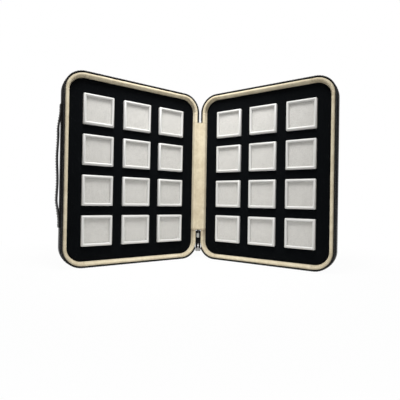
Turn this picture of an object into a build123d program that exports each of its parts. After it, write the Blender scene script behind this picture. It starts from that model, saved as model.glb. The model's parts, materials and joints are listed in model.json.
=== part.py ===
from build123d import *
import os
from math import cos, radians, sin

# Zip-up presentation case for gemstones, stood open like a book on its two short ends.
# Each half is a moulded tray with a leather-look skin, a padded roll round its mouth and
# a black foam insert, whose pockets hold square gem boxes. A strip down the spine joins
# the halves along two fold lines. Millimetres, +Z up, and the inside faces -Y.
# The origin is on the ground, in the middle of the case's footprint as it stands open.

os.makedirs("parts", exist_ok=True)

# Gem boxes
box_side = 30.0
box_height = 15.5
box_wall = 1.2
box_floor = 1.2
box_corner = 1.0
lid_height = 5.4
lid_border = 2.9
lid_top = 1.0
lid_edge = 0.5
glass_thickness = 1.0
lid_fit = 0.2
pad_fit = 0.2
pad_below_glass = 0.4

# Grid of boxes in each half
columns = 3
rows = 4
column_pitch = 40.0
row_pitch = 39.5
spine_margin = 14.0
outer_margin = 12.4
end_margin = 14.35
pocket_fit = 0.3

# Layers of a half, from its outer back towards the inside
skin = 0.8
padding_back = 1.6
padding_wall = 2.4
padding_height = 11.3
board = 1.2
board_fit = 0.1
foam = 12.8
foam_fit = 0.1
box_seat_gap = 0.3
half_depth = 21.2
corner_radius = 20.0
back_radius = 6.0
skin_wall = 14.5

# Padded roll round the mouth
roll_width = 4.5
roll_crown = 2.1
closing_gap = 0.2

# Zip
tape = 0.6
teeth_width = 1.2
teeth_height = 1.65
teeth_gap = 0.15
teeth_start = 11.0
stop_length = 1.8
stop_gap = 0.1
stop_inset = 0.15
low_tape = 3.7

# Spine
opening_angle = 116.0
spine_length = 125.0
strip_width = 2.6
strip = 1.0
fold_gap = 0.4
lining = 0.6
lining_tuck = 1.9
lining_outside = 4.0

# Zip ends and slider
end_tape_width = 1.2
end_tape_slit = 1.4
end_tape_sewn = 0.8
end_tape_sewn_slit = 0.3
end_tape_sewn_length = 6.0
end_tape_narrowing = 1.2
clip_length = 1.2
clip_wall = 0.35
clip_fit = 0.05
slider_width = 4.4
slider_length = 6.0
slider_plate = 0.8
slider_channel = 1.6
slider_corner = 1.9
slider_web = 0.8
slider_web_length = 2.5
slider_gap = 0.3
crown_length = 4.4
crown_width = 1.4
crown_height = 2.4
crown_bar = 0.8
crown_round = 1.2
pull_length = 19.2
pull_thickness = 1.0
pull_arm = 0.6
pull_gap = 0.3
pull_pin_radius = 0.45
pull_window = 3.3
pull_neck = 2.4
pull_end = 6.0
pull_flare_start = 9.4
pull_flare_end = 11.0
pull_hole_radius = 0.8
pull_hole = 12.6
pull_round = 0.8

# Carrying strap on the long side of the left half
strap_width = 10.0
strap = 1.9
strap_bow = 2.0
strap_span = 97.0
strap_tab = 11.0
strap_ramp = 16.0
strap_rise = 3.0
strap_end_round = 1.5

# Sizes that follow from these
board_top = skin + padding_back + board
foam_top = board_top + foam
box_seat = board_top + box_seat_gap
padding_top = skin + padding_height
pocket_side = box_side + 2 * pocket_fit
roll_inset = skin + tape
foam_inset = roll_inset + roll_width + foam_fit
padding_inset = skin + padding_wall
board_inset = padding_inset + board_fit
case_width = (columns - 1) * column_pitch + box_side + spine_margin + outer_margin + 2 * foam_inset
case_height = (rows - 1) * row_pitch + box_side + 2 * (end_margin + foam_inset)
middle = case_height / 2
grid_centre = (case_width + spine_margin - outer_margin) / 2
roll_top = half_depth - closing_gap
teeth_top = half_depth - teeth_gap
teeth_bottom = teeth_top - teeth_height
hinge_height = half_depth - strip_width / 2
spine_wall = hinge_height - strip / 2 - fold_gap
spine_low = middle - spine_length / 2
spine_high = middle + spine_length / 2
tape_low_top = hinge_height - low_tape
strap_low = skin_wall - strap_width - pocket_fit

# Directions of a half in plan, and where the spine stands over the footprint's middle
half_angle = radians(opening_angle / 2)
across = sin(half_angle)
forward = cos(half_angle)
strap_reach = case_width + strap_bow + strap
left_reach = strap_reach * across + (hinge_height - strap_low) * forward
right_reach = (case_width - back_radius) * across + (hinge_height - back_radius) * forward + back_radius
teeth_inset = roll_inset - teeth_width
front_reach = (case_width - teeth_inset) * forward + (teeth_top - hinge_height) * across
rear_reach = back_radius + (hinge_height - back_radius) * across - back_radius * forward
spine_x = (left_reach - right_reach) / 2
spine_y = (front_reach - rear_reach) / 2

LEFT = -1
RIGHT = 1


def inward(side):
    """The direction from a half's outer back to its inside."""
    return Vector(-side * forward, -across, 0)


def half_origin(side):
    """The spine edge of a half's outer back, on the ground."""
    hinge = Vector(spine_x + side * strip_width / 2, spine_y, 0)
    return hinge - inward(side) * hinge_height


def face(side, depth):
    """A plane across a half, at a depth from its outer back. Its x runs towards +X and its y up."""
    return Plane(
        origin=half_origin(side) + inward(side) * depth,
        x_dir=(across, -side * forward, 0),
        z_dir=inward(side),
    )


def section(side):
    """A level plane through a half's middle. Its x is the distance from the spine, its y the depth."""
    return Plane(
        origin=half_origin(side) + Vector(0, 0, middle),
        x_dir=(side * across, -forward, 0),
        z_dir=(0, 0, -side),
    )


def outline(side, inset, mode=Mode.ADD):
    """The rounded outline of a half, drawn in from its edge."""
    with Locations((side * case_width / 2, middle)):
        RectangleRounded(
            case_width - 2 * inset, case_height - 2 * inset, corner_radius - inset, mode=mode
        )


def spine_zone(side, reach, low, high, mode=Mode.ADD):
    """A band beside the spine, between two heights."""
    with Locations((side * reach / 2, (low + high) / 2)):
        Rectangle(reach + 2 * skin, high - low, mode=mode)


def depth_axis(side):
    """An axis that sorts a half's faces and edges by their depth."""
    return Axis((0, 0, 0), tuple(inward(side)))


def save(shape, name):
    """Name a finished piece and write it out."""
    shape.label = name
    export_step(shape, f"parts/{name}.step")


def build_cover(side):
    """Leather-look skin: a shallow tray, higher along the spine, where no zip runs."""
    with BuildPart() as cover:
        with BuildSketch(face(side, 0)):
            outline(side, 0)
        extrude(amount=spine_wall)
        fillet(cover.edges().group_by(depth_axis(side))[0], back_radius)
        offset(amount=-skin, openings=cover.faces().sort_by(depth_axis(side))[-1])
        with BuildSketch(face(side, skin_wall)):
            outline(side, -skin)
            spine_zone(side, corner_radius, spine_low, spine_high, mode=Mode.SUBTRACT)
        extrude(amount=half_depth - skin_wall, mode=Mode.SUBTRACT)
    return cover.part


def build_padding(side):
    """Moulded foam tray under the skin."""
    with BuildPart() as padding:
        with BuildSketch(face(side, skin)):
            outline(side, skin)
        extrude(amount=padding_height)
        fillet(padding.edges().group_by(depth_axis(side))[0], back_radius - skin)
        with BuildSketch(face(side, skin + padding_back)):
            outline(side, padding_inset)
        extrude(amount=padding_height, mode=Mode.SUBTRACT)
    return padding.part


def build_board(side):
    """Stiff board that carries the foam insert."""
    with BuildPart() as plate:
        with BuildSketch(face(side, skin + padding_back)):
            outline(side, board_inset)
        extrude(amount=board)
    return plate.part


def wrap_profile(side):
    """Section of the spine lining where it wraps the roll, at right angles to the spine."""
    wrap_x = roll_inset + roll_width / 2
    wrap_low = roll_top - lining_outside
    leg_low = foam_top - lining_tuck
    with BuildSketch(section(side), mode=Mode.PRIVATE) as core:
        with Locations((wrap_x, wrap_low + lining_outside / 2 - lining)):
            Rectangle(roll_width - 2 * lining, lining_outside)
        fillet(core.vertices().group_by(Axis.Y)[-1], roll_crown - lining)
    with BuildSketch(section(side), mode=Mode.PRIVATE) as wrap:
        with Locations((wrap_x, wrap_low + lining_outside / 2)):
            Rectangle(roll_width, lining_outside)
        fillet(wrap.vertices().group_by(Axis.Y)[-1], roll_crown)
        add(core.sketch_local, mode=Mode.SUBTRACT)
        with Locations((wrap_x + (roll_width - lining) / 2, (leg_low + wrap_low) / 2)):
            Rectangle(lining, wrap_low - leg_low)
    return wrap.sketch


def build_roll(side):
    """Padded roll round the mouth, with a foot between the padding and the foam insert."""
    with BuildPart() as roll:
        with BuildSketch(face(side, board_top)):
            outline(side, board_inset)
            outline(side, foam_inset - foam_fit, mode=Mode.SUBTRACT)
        extrude(amount=padding_top - board_top)
        with BuildSketch(face(side, padding_top)):
            outline(side, roll_inset)
            outline(side, foam_inset - foam_fit, mode=Mode.SUBTRACT)
        extrude(amount=roll_top - padding_top)
        fillet(roll.edges().group_by(depth_axis(side))[-1], roll_crown)
        extrude(wrap_profile(side), amount=spine_length / 2, both=True, mode=Mode.SUBTRACT)
    return roll.part


def build_lining(side):
    """Spine lining: the part of the soft strip that is wrapped over this half's roll."""
    with BuildPart() as wrap:
        extrude(wrap_profile(side), amount=spine_length / 2, both=True)
    return wrap.part


def build_foam(side):
    """Foam insert with its square pockets, cut right through to the board."""
    with BuildPart() as insert:
        with BuildSketch(face(side, board_top)):
            outline(side, foam_inset)
            with Locations((side * grid_centre, middle)):
                with GridLocations(column_pitch, row_pitch, columns, rows):
                    Rectangle(pocket_side, pocket_side, mode=Mode.SUBTRACT)
        extrude(amount=foam)
    return insert.part


def build_tape(side):
    """Zip tape, sewn in behind the skin, and cut low where the slider parks."""
    with BuildPart() as band:
        with BuildSketch(face(side, padding_top)):
            outline(side, skin)
            outline(side, roll_inset, mode=Mode.SUBTRACT)
            spine_zone(side, corner_radius, spine_low, spine_high, mode=Mode.SUBTRACT)
        extrude(amount=teeth_bottom - padding_top)
        with BuildSketch(face(side, tape_low_top)):
            spine_zone(side, corner_radius / 2, teeth_start, spine_low)
        extrude(amount=half_depth - tape_low_top, mode=Mode.SUBTRACT)
    return band.part


def build_teeth(side):
    """Coil of zip teeth along the tape's free edge, as one plain band."""
    with BuildPart() as coil:
        with BuildSketch(face(side, teeth_bottom)):
            outline(side, teeth_inset)
            outline(side, roll_inset, mode=Mode.SUBTRACT)
            coil_high = spine_high + stop_length + 2 * stop_gap
            spine_zone(side, corner_radius / 2, teeth_start, coil_high, mode=Mode.SUBTRACT)
        extrude(amount=teeth_height)
    return coil.part


def build_top_stop(side):
    """Metal stop clipped on the tape at the coil's upper end."""
    width = roll_inset - stop_inset
    with BuildPart() as stop:
        with BuildSketch(face(side, teeth_bottom)):
            with Locations((side * (stop_inset + width / 2), spine_high + stop_gap + stop_length / 2)):
                RectangleRounded(width, stop_length, width / 4)
        extrude(amount=teeth_height)
    return stop.part


def build_spine_flap(side):
    """Leather flap of the spine strip, sewn in where the zip tape is left out."""
    with BuildPart() as flap:
        with BuildSketch(section(side)):
            with Locations((skin + tape / 2, (padding_top + spine_wall) / 2)):
                Rectangle(tape, spine_wall - padding_top)
        extrude(amount=spine_length / 2, both=True)
    return flap.part


def build_box(side, column, row):
    """Gem box: base tray, soft pad, glass pane and framed lid, each a separate solid."""
    x = side * grid_centre + (column - (columns - 1) / 2) * column_pitch
    z = middle + ((rows - 1) / 2 - row) * row_pitch
    top = box_seat + box_height
    rim = top - lid_height
    neck_side = box_side - 2 * (box_wall + lid_fit)
    inner_side = neck_side - 2 * box_wall
    glass_bottom = top - lid_top - glass_thickness
    neck_top = glass_bottom - lid_fit
    pad_side = inner_side - 2 * pad_fit
    pad_bottom = box_seat + box_floor
    glass_side = box_side - 2 * (box_wall + lid_fit)
    window = box_side - 2 * lid_border
    with BuildPart() as tray:
        with BuildSketch(face(side, box_seat)):
            with Locations((x, z)):
                RectangleRounded(box_side, box_side, box_corner)
        extrude(amount=rim - lid_fit - box_seat)
        with BuildSketch(face(side, rim - lid_fit)):
            with Locations((x, z)):
                Rectangle(neck_side, neck_side)
        extrude(amount=neck_top - rim + lid_fit)
        with BuildSketch(face(side, pad_bottom)):
            with Locations((x, z)):
                Rectangle(inner_side, inner_side)
        extrude(amount=neck_top - pad_bottom, mode=Mode.SUBTRACT)
    with BuildPart() as pad:
        with BuildSketch(face(side, pad_bottom)):
            with Locations((x, z)):
                Rectangle(pad_side, pad_side)
        extrude(amount=glass_bottom - pad_below_glass - pad_bottom)
    with BuildPart() as glass:
        with BuildSketch(face(side, glass_bottom)):
            with Locations((x, z)):
                Rectangle(glass_side, glass_side)
        extrude(amount=glass_thickness)
    with BuildPart() as lid:
        with BuildSketch(face(side, rim)):
            with Locations((x, z)):
                RectangleRounded(box_side, box_side, box_corner)
        extrude(amount=lid_height)
        fillet(lid.edges().group_by(depth_axis(side))[-1], lid_edge)
        with BuildSketch(face(side, rim)):
            with Locations((x, z)):
                Rectangle(box_side - 2 * box_wall, box_side - 2 * box_wall)
        extrude(amount=lid_height - lid_top, mode=Mode.SUBTRACT)
        with BuildSketch(face(side, top - lid_top)):
            with Locations((x, z)):
                Rectangle(window, window)
        extrude(amount=lid_top, mode=Mode.SUBTRACT)
    return Compound([piece.part.solid() for piece in (tray, pad, glass, lid)])


for side, hand in ((LEFT, "left"), (RIGHT, "right")):
    save(build_cover(side), f"{hand}_cover")
    save(build_padding(side), f"{hand}_padding")
    save(build_board(side), f"{hand}_back_board")
    save(build_roll(side), f"{hand}_padded_roll")
    save(build_foam(side), f"{hand}_foam_insert")
    save(build_tape(side), f"{hand}_zip_tape")
    save(build_teeth(side), f"{hand}_zip_teeth")
    save(build_top_stop(side), f"{hand}_zip_top_stop")
    save(build_spine_flap(side), f"{hand}_spine_flap")
    save(build_lining(side), f"{hand}_spine_lining")
    for row in range(rows):
        for column in range(columns):
            save(build_box(side, column, row), f"{hand}_gem_box_r{row + 1}_c{column + 1}")

# Spine strip: two round beads on the fold lines, with a flat web between them.
with BuildPart() as spine_strip:
    with BuildSketch(Plane((spine_x, spine_y, middle))):
        SlotCenterToCenter(strip_width, strip)
    extrude(amount=spine_length / 2, both=True)
save(spine_strip.part, "spine_strip")

# Loose ends of the two zip tapes. They are sewn behind the spine strip and hang below it.
end_tape_y = (strip + tape) / 2
clip_bottom = spine_low - end_tape_narrowing - clip_length
hang_outside = end_tape_slit / 2 + end_tape_width
sewn_inside = end_tape_sewn_slit / 2
sewn_outside = sewn_inside + end_tape_sewn
with BuildPart() as zip_end_tapes:
    with BuildSketch(Plane((spine_x, spine_y + strip / 2, spine_low), x_dir=(1, 0, 0), z_dir=(0, -1, 0))):
        with BuildLine():
            Polyline(
                (end_tape_slit / 2, teeth_start - spine_low),
                (hang_outside, teeth_start - spine_low),
                (hang_outside, -end_tape_narrowing),
                (sewn_outside, 0),
                (sewn_outside, end_tape_sewn_length),
                (sewn_inside, end_tape_sewn_length),
                (sewn_inside, 0),
                (end_tape_slit / 2, -end_tape_narrowing),
                close=True,
            )
        make_face()
        mirror(about=Plane.YZ)
    extrude(amount=-tape)
save(zip_end_tapes.part, "zip_end_tapes")

# Metal clip that holds the two tape ends together, the zip's lower stop.
with BuildPart() as zip_bottom_stop:
    with BuildSketch(Plane((spine_x, spine_y, clip_bottom))):
        with Locations((0, end_tape_y)):
            Rectangle(2 * (hang_outside + clip_fit + clip_wall), tape + 2 * (clip_fit + clip_wall))
        tape_x = (end_tape_slit + end_tape_width) / 2
        with Locations((-tape_x, end_tape_y), (tape_x, end_tape_y)):
            Rectangle(end_tape_width + 2 * clip_fit, tape + 2 * clip_fit, mode=Mode.SUBTRACT)
    extrude(amount=clip_length)
save(zip_bottom_stop.part, "zip_bottom_stop")

# Slider: a front plate, a back plate, a wedge between them and a bridge for the pull.
slider_top = clip_bottom - slider_gap
slider_middle = slider_top - slider_length / 2
channel_front = end_tape_y - slider_channel / 2
channel_back = end_tape_y + slider_channel / 2
back_face = channel_back + slider_plate
with BuildPart() as zip_slider:
    with BuildSketch(Plane.XZ.offset(-(spine_y + back_face))):
        with Locations((spine_x, slider_middle)):
            RectangleRounded(slider_width, slider_length, slider_corner)
    extrude(amount=back_face - channel_front + slider_plate)
    with BuildSketch(Plane.XZ.offset(-(spine_y + channel_back))):
        with Locations((spine_x, slider_middle)):
            Rectangle(slider_width + skin, slider_length + skin)
        with Locations((spine_x, slider_top - slider_web_length / 2)):
            Rectangle(slider_web, slider_web_length, mode=Mode.SUBTRACT)
    extrude(amount=slider_channel, mode=Mode.SUBTRACT)
    with BuildSketch(Plane.YZ.offset(spine_x)):
        with Locations((spine_y + back_face, slider_middle)):
            RectangleRounded(2 * crown_height, crown_length, crown_round)
            Rectangle(2 * (crown_height - crown_bar), crown_length - 2 * crown_bar, mode=Mode.SUBTRACT)
        with Locations((spine_y + back_face - crown_height, slider_middle)):
            Rectangle(2 * crown_height, crown_length + skin, mode=Mode.SUBTRACT)
    extrude(amount=crown_width / 2, both=True)
save(zip_slider.part, "zip_slider")

# Pull: a pin under the slider's bridge, two arms, a narrow neck and a wider end with a hole.
pin_y = spine_y + back_face + (crown_height - crown_bar) / 2
arm_inside = crown_width / 2 + pull_gap
arm_outside = arm_inside + pull_arm
pull_half = pull_thickness / 2
pull_low = slider_middle - pull_length
with BuildPart() as zip_pull:
    with BuildSketch(Plane((spine_x, pin_y, slider_middle), x_dir=(1, 0, 0), z_dir=(0, -1, 0))):
        with BuildLine():
            Polyline(
                (0, pull_half),
                (arm_outside, pull_half),
                (arm_outside, -pull_window),
                (pull_neck / 2, -pull_window - pull_arm),
                (pull_neck / 2, -pull_flare_start),
                (pull_end / 2, -pull_flare_end),
                (pull_end / 2, -pull_length),
                (0, -pull_length),
                close=True,
            )
        make_face()
        mirror(about=Plane.YZ)
        with Locations((0, (pull_half - pull_window) / 2)):
            Rectangle(2 * arm_inside, pull_half + pull_window, mode=Mode.SUBTRACT)
        with Locations((0, -pull_hole)):
            Circle(pull_hole_radius, mode=Mode.SUBTRACT)
    extrude(amount=pull_half, both=True)
    fillet(zip_pull.edges().filter_by(Axis.Y).group_by(Axis.Z)[0], pull_round)
    with BuildSketch(Plane.YZ.offset(spine_x)):
        with Locations((pin_y, slider_middle)):
            Circle(pull_pin_radius)
    extrude(amount=arm_outside, both=True)
save(zip_pull.part, "zip_pull")

# Carrying strap: two tabs sewn flat on the long side, and a bowed stretch between them.
strap_middle = middle + strap_rise
bow_low = strap_middle - strap_span / 2
bow_high = strap_middle + strap_span / 2
tab_low = bow_low - strap_tab
tab_high = bow_high + strap_tab
with BuildPart() as carry_strap:
    with BuildSketch(face(LEFT, strap_low)):
        with BuildLine():
            for lift in (0, strap):
                seat_x = -(case_width + lift)
                bow_x = seat_x - strap_bow
                Line((seat_x, tab_low), (seat_x, bow_low))
                Spline((seat_x, bow_low), (bow_x, bow_low + strap_ramp), tangents=((0, 1), (0, 1)))
                Line((bow_x, bow_low + strap_ramp), (bow_x, bow_high - strap_ramp))
                Spline((bow_x, bow_high - strap_ramp), (seat_x, bow_high), tangents=((0, 1), (0, 1)))
                Line((seat_x, bow_high), (seat_x, tab_high))
            Line((-case_width, tab_low), (-case_width - strap, tab_low))
            Line((-case_width, tab_high), (-case_width - strap, tab_high))
        make_face()
    extrude(amount=strap_width)
    tab_corners = carry_strap.edges().filter_by(Axis((0, 0, 0), (across, forward, 0)))
    fillet(tab_corners.group_by(Axis.Z)[0] + tab_corners.group_by(Axis.Z)[-1], strap_end_round)
save(carry_strap.part, "carry_strap")

print(f"case {case_width:.1f} wide, {case_height:.1f} high, {2 * half_depth:.1f} thick when shut")
print(f"spine at x {spine_x:.4f}, y {spine_y:.4f}; hinge depth {hinge_height:.3f}")
print(f"box seat {box_seat:.2f}, foam top {foam_top:.2f}, box top {box_seat + box_height:.2f}")
print(f"slider middle z {slider_middle:.3f}, pin y {pin_y:.4f}, pull low z {pull_low:.3f}")
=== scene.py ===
# %% [markdown]
# # A zip-up display case, opened like a book
#
# The case is two padded trays joined by a leather spine. Each tray holds a black foam
# insert with twelve small white boxes, and a cream roll of padded suede runs round its
# mouth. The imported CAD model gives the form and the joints, and this lesson dresses it:
# leather with stitches, single zip teeth, a puckered roll, cushions under glass. One
# half is made lying flat on a bench, in millimetres, and then stood up where it belongs.

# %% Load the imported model
import json
from math import ceil, cos, hypot, pi, radians, sin

import bmesh
import bpy
from mathutils import Matrix, Vector, noise


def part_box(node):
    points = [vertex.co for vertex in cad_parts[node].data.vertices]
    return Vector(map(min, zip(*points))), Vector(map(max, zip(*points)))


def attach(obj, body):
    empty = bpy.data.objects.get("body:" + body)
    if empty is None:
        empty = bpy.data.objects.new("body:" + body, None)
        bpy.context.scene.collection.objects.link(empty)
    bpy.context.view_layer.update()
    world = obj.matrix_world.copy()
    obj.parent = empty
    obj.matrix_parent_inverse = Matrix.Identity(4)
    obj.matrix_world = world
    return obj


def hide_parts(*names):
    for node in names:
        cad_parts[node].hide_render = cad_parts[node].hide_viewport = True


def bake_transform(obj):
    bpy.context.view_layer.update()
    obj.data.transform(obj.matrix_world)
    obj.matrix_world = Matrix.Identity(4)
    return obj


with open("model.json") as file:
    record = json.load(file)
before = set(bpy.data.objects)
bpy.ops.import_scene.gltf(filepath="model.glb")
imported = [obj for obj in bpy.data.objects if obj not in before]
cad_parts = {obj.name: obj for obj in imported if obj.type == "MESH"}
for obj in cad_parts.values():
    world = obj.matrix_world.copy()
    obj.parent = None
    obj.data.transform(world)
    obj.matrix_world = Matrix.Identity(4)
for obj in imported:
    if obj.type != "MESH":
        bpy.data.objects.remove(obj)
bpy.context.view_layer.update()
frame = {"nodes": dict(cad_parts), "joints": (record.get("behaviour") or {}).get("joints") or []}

MM = 0.001
LEFT, RIGHT = -1, 1
UP = Vector((0, 0, 1))

case_width = 148.4
case_height = 189.2
middle = case_height / 2
corner_radius = 20.0
hinge_depth = 19.9
foam_top = 16.4
board_top = 3.6
spine_length = 125.0
spine_low = middle - spine_length / 2
spine_high = middle + spine_length / 2

spine_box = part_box("spine_strip")
spine = (spine_box[0] + spine_box[1]) / 2
fold_joints = {j["child"]: j for j in frame["joints"] if j["child"].endswith("_half")}
half_angle = radians(-fold_joints["right_half"]["range_deg"][0])
print(f"spine at x {spine.x / MM:.2f}, y {spine.y / MM:.2f}; each half turned {half_angle:.3f} rad")

# %% [markdown]
# ## Two halves, one bench
#
# A maker shapes each tray flat on a bench and only then joins them at the spine. The
# script does the same: x runs away from the spine, y up the case, and z from the outer
# back to the inside. One matrix per half stands the finished mesh up. The left half is
# the mirror image of the right one, so its faces are turned round afterwards.


# %% Stand a half up
def placing(*columns):
    """The matrix with these four columns: three axes and a place."""
    rows = [[column[i] for column in columns] for i in range(3)]
    return Matrix(rows + [[0, 0, 0, 1]])


class Half:
    """One half of the case, and the matrix that stands its bench work up."""

    def __init__(self, hand, side):
        self.hand, self.side = hand, side
        self.body = f"{hand}_half"
        self.hinge = Vector(fold_joints[self.body]["pos_m"])
        self.hinge.z = 0
        along = Vector((side * sin(half_angle), -cos(half_angle), 0))
        inward = Vector((-side * cos(half_angle), -sin(half_angle), 0))
        origin = self.hinge - inward * hinge_depth * MM
        self.stand = placing(along * MM, UP * MM, inward * MM, origin)

    def point(self, x, y, z):
        """A bench point in the case's own frame, in metres."""
        return self.stand @ Vector((x, y, z))


halves = [Half("left", LEFT), Half("right", RIGHT)]
for half in halves:
    low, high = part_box(f"{half.hand}_cover")
    corner = half.point(case_width, 0, hinge_depth)
    print(half.hand, f"cover {(high - low).x / MM:.1f} mm across; outer corner {corner.x / MM:.1f}")

# %% [markdown]
# ## Finishes as expressions
#
# A material is easier to read as a formula than as a list of links. The small class
# below wraps one node output, so `0.4 + cloud * 0.14` adds the Math nodes by itself.
# Colours are mixed with a Mix node, because a Math node would turn them grey. Every other
# node comes from one method, which takes the node's type, its sockets and its settings.


# %% A socket that does arithmetic
class Signal:
    """A node's output, with the arithmetic that adds Math nodes."""

    def __init__(self, owner, socket):
        self.owner, self.socket = owner, socket

    def maths(self, operation, *others):
        sockets = dict(enumerate((self, *others)))
        return self.owner.node("ShaderNodeMath", sockets, operation=operation)

    def __add__(self, other):
        return self.maths("ADD", other)

    def __sub__(self, other):
        return self.maths("SUBTRACT", other)

    def __mul__(self, other):
        return self.maths("MULTIPLY", other)

    __radd__ = __add__
    __rmul__ = __mul__

    def between(self, low, high):
        """0 below low, 1 above high, and smooth between them."""
        sockets = {0: self, 1: low, 2: high}
        return self.owner.node("ShaderNodeMapRange", sockets, interpolation_type="SMOOTHSTEP")

    def wave(self):
        return self.maths("SINE")

    def size(self):
        return self.maths("ABSOLUTE")

    def beside(self, name):
        """Another output of the same node."""
        return Signal(self.owner, self.socket.node.outputs[name])


# %% A tree of nodes
class Nodes:
    """Adds nodes to a tree and links them."""

    def __init__(self, tree):
        self.tree = tree

    def node(self, kind, sockets=None, output=0, **settings):
        made = self.tree.nodes.new(kind)
        for name, value in settings.items():
            setattr(made, name, value)
        for name, value in (sockets or {}).items():
            self.feed(made.inputs[name], value)
        return Signal(self, made.outputs[output])

    def feed(self, socket, value):
        if isinstance(value, Signal):
            self.tree.links.new(value.socket, socket)
        elif socket.type == "RGBA":
            socket.default_value = (*value, 1)
        else:
            socket.default_value = value

    def rays(self, *kinds):
        """1 for rays of these kinds, 0 for all others."""
        path = self.node("ShaderNodeLightPath")
        first, *rest = [path.beside(f"Is {kind} Ray") for kind in kinds]
        for other in rest:
            first = first.maths("MAXIMUM", other)
        return first


# %% A finish: one material and its nodes
class Finish(Nodes):
    """A material, its Principled shader and the methods that feed it."""

    def __init__(self, name, slot, **shader):
        self.slot = slot
        self.material = bpy.data.materials.new(name)
        self.material.use_nodes = True
        super().__init__(self.material.node_tree)
        self.shader = self.tree.nodes["Principled BSDF"]
        self.set(**shader)
        self.place = self.node("ShaderNodeTexCoord", output="Object")

    def set(self, **sockets):
        for name, value in sockets.items():
            self.feed(self.shader.inputs[name.replace("_", " ")], value)

    def noise(self, scale, detail=3.0, roughness=0.55, vector=None):
        sockets = {"Vector": vector or self.place, "Scale": scale, "Detail": detail}
        return self.node("ShaderNodeTexNoise", {**sockets, "Roughness": roughness}, output="Fac")

    def cells(self, scale, feature="F1"):
        sockets = {"Vector": self.place, "Scale": scale}
        return self.node("ShaderNodeTexVoronoi", sockets, output="Distance", feature=feature)

    def blend(self, mask, first, second):
        sockets = {0: mask, 6: first, 7: second}
        return self.node("ShaderNodeMix", sockets, output=2, data_type="RGBA")

    def relief(self, height, depth_mm, under=None):
        sockets = {"Height": height, "Distance": depth_mm * MM, "Strength": 1.0}
        if under:
            sockets["Normal"] = under
        return self.node("ShaderNodeBump", sockets, output="Normal")

    def attribute(self, name):
        return self.node("ShaderNodeAttribute", output="Fac", attribute_name=name)

    def unwrapped(self):
        """The two directions of the piece's own UV map, in millimetres."""
        uv = self.node("ShaderNodeUVMap", uv_map="pattern")
        run = self.node("ShaderNodeSeparateXYZ", {0: uv}, output="X")
        return run, run.beside("Y")


# %% [markdown]
# ## Leather, suede and foam
#
# The cover is thin black leather-look sheet: small cells with darker creases between
# them, greyer and duller where hands rub the edges. The roll and the spine lining are
# cream suede, whose nap is two sizes of cloudy noise. The foam is nearly black, and only
# its tiny open cells catch light.

# %% Leather and thread
leather = Finish("black_leather", "leather_black", Specular_IOR_Level=0.22)
pebbles = leather.cells(900.0)
creases = leather.cells(420.0, feature="DISTANCE_TO_EDGE").between(0.0, 0.16)
cloud = leather.noise(45.0, detail=4.0)
# On the leather this mask is real wear: greyer and duller on the edges that hands rub.
wear_and_shade = (leather.attribute("wear") * (cloud + 0.35)).between(0.25, 0.8)
leather_tone = creases * 0.7 + cloud * 0.3
leather_shade = leather.blend(leather_tone, (0.0022, 0.0021, 0.0022), (0.0085, 0.0082, 0.0085))
leather.set(Base_Color=leather.blend(wear_and_shade, leather_shade, (0.021, 0.020, 0.0195)))
leather.set(Roughness=0.40 + cloud * 0.14 + wear_and_shade * 0.12 - creases * 0.06)
grain = leather.relief(creases, 0.05)
leather.set(Normal=leather.relief(pebbles + leather.noise(2200.0) * 0.4, 0.025, under=grain))

thread = Finish("waxed_thread", "leather_black", Specular_IOR_Level=0.5)
twist = (thread.noise(1600.0) * 6.0).wave().size()
thread.set(Base_Color=thread.blend(twist, (0.022, 0.017, 0.015), (0.085, 0.068, 0.058)))
thread.set(Roughness=0.55 + twist * 0.15, Normal=thread.relief(twist, 0.03))
print("leather nodes:", len(leather.tree.nodes), "thread nodes:", len(thread.tree.nodes))

# %% Suede, display foam and wall padding
suede = Finish("cream_suede", "suede_cream", Specular_IOR_Level=0.2)
suede.set(Sheen_Weight=0.25, Sheen_Roughness=0.6, Sheen_Tint=(1.0, 0.93, 0.8))
nap = suede.noise(260.0, detail=5.0, roughness=0.65)
mottle = suede.noise(70.0, detail=2.0)
fibres = suede.noise(3200.0, detail=2.0)
suede_tone = (nap * 0.55 + mottle * 0.45).between(0.34, 0.66)
suede_shade = suede.blend(suede_tone, (0.650, 0.562, 0.390), (0.800, 0.718, 0.530))
# Painted shade: the suede turns dark brown where the attribute is set, in the roll's pucker folds,
# low by the spine and over the lining.
suede.set(Base_Color=suede.blend(suede.attribute("suede_painted_shade"), suede_shade, (0.330, 0.250, 0.155)))
suede.set(Roughness=0.86 + nap * 0.12)
suede.set(Normal=suede.relief(nap * 0.6 + fibres * 0.4, 0.07, under=suede.relief(mottle, 0.12)))

foam = Finish("black_display_foam", "foam_black", Specular_IOR_Level=0.04)
pores = foam.cells(1500.0).between(0.1, 0.55)
drift = foam.noise(90.0)
foam_tone = pores * 0.6 + drift * 0.4
foam.set(Base_Color=foam.blend(foam_tone, (0.0005, 0.0008, 0.0011), (0.0042, 0.0050, 0.0060)))
foam.set(Roughness=0.93 + drift * 0.06)
foam.set(Normal=foam.relief(pores + foam.noise(2600.0) * 0.5, 0.05))

padding = Finish("wall_padding_foam", "padding_foam", Specular_IOR_Level=0.2)
bubbles = padding.cells(700.0).between(0.05, 0.5)
padding.set(Base_Color=padding.blend(bubbles, (0.36, 0.34, 0.30), (0.62, 0.60, 0.54)))
padding.set(Roughness=0.9 + bubbles * 0.08, Normal=padding.relief(bubbles, 0.15))

board = Finish("grey_board", "board", Specular_IOR_Level=0.25)
pulp = board.noise(900.0, detail=4.0)
flecks = board.noise(160.0, detail=5.0, roughness=0.75).between(0.58, 0.70)
board_tone = pulp * 0.6 + flecks * 0.4
board.set(Base_Color=board.blend(board_tone, (0.30, 0.28, 0.25), (0.16, 0.14, 0.12)))
board.set(Roughness=0.85 + pulp * 0.1, Normal=board.relief(pulp, 0.06))
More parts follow.
